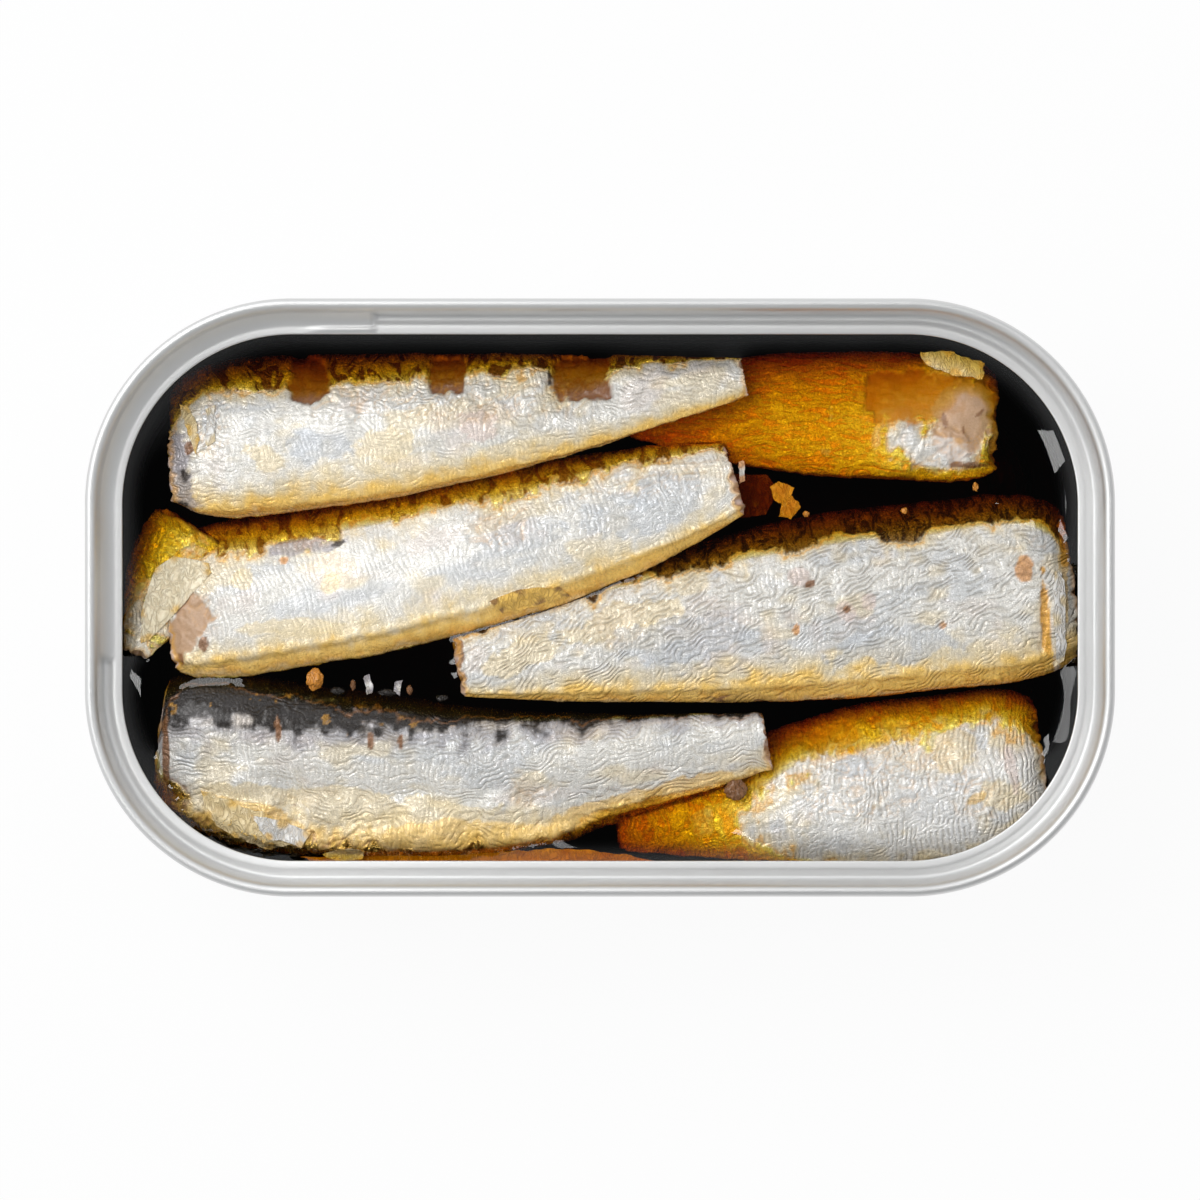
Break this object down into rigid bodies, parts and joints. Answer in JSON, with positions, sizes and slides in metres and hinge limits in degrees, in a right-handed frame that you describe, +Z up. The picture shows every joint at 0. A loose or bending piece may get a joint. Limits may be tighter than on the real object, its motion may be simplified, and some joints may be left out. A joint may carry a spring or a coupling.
{
  "type": "open sardine tin",
  "caption": "Rounded rectangular tin with its pull-off lid removed, filled with headless silver sardines lying in golden oil.",
  "frame": {"origin": "centre of the tin's underside, on the surface it stands on", "axes": "+X along the tin's length, +Y across it towards the rear sardines, +Z up through the open top"},
  "size_m": [0.104, 0.0604, 0.028],
  "materials": {
    "tin": "satin",
    "seam": "satin",
    "fish_skin": "wet",
    "oil": "clear"
  },
  "bodies": {
    "root": {"tin_body": "tin", "seam_ring": "seam", "sardine_rear_left": "fish_skin", "sardine_rear_right": "fish_skin", "sardine_middle_left": "fish_skin", "sardine_middle_right": "fish_skin", "sardine_front_left": "fish_skin", "sardine_front_right": "fish_skin", "sardine_side_scrap": "fish_skin", "oil": "oil"}
  },
  "joints": []
}
